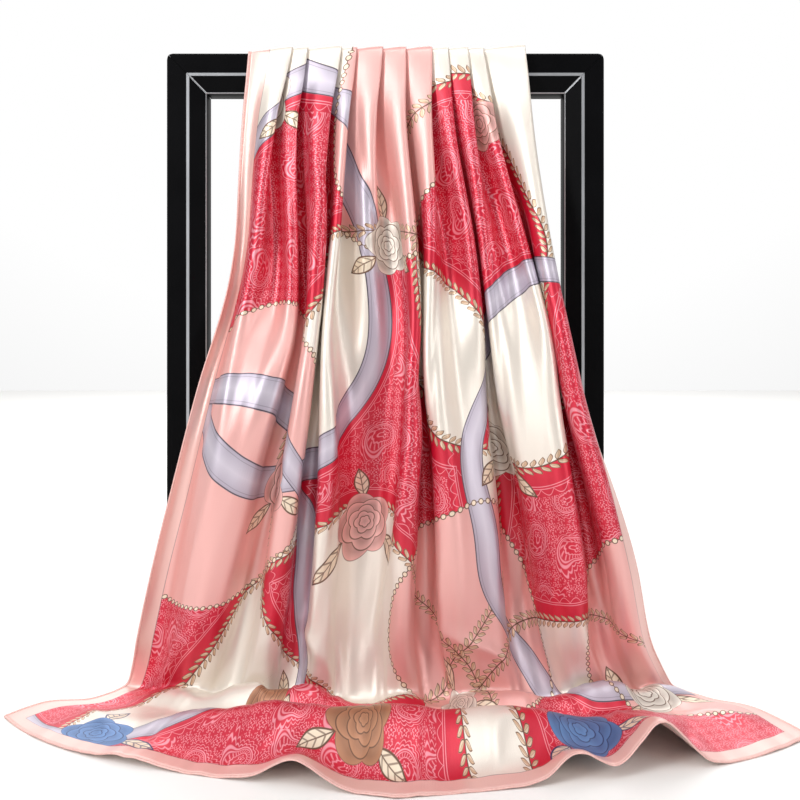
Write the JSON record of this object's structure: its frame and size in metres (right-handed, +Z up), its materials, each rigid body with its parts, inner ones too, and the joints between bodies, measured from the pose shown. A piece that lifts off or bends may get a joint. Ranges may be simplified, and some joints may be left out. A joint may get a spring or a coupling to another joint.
{
  "type": "silk square scarf on display stand",
  "caption": "Silk satin square scarf gathered over the top rail of a standing black picture-frame style display stand, hanging in flutes and spreading on the floor in front.",
  "frame": {"origin": "on the floor under the middle of the frame's bottom rail, halfway through its depth", "axes": "+X to the right along the rails as seen from the front, +Y backwards through the frame, +Z up; the cloth hangs in front, towards -Y"},
  "size_m": [0.7484, 0.2797, 0.6643],
  "materials": {
    "printed_silk": "glossy satin-weave silk printed in coral red, blush pink, ivory, lilac and gold",
    "hem_silk": "hand-rolled hem of the same silk, blush pink",
    "black_frame": "black satin lacquer with a thin silver line"
  },
  "bodies": {
    "root": {"scarf_panel": "printed_silk", "hem_back": "hem_silk", "hem_front": "hem_silk", "hem_left": "hem_silk", "hem_right": "hem_silk", "frame_rail_top": "black_frame", "frame_rail_bottom": "black_frame", "frame_stile_left": "black_frame", "frame_stile_right": "black_frame"}
  },
  "joints": []
}
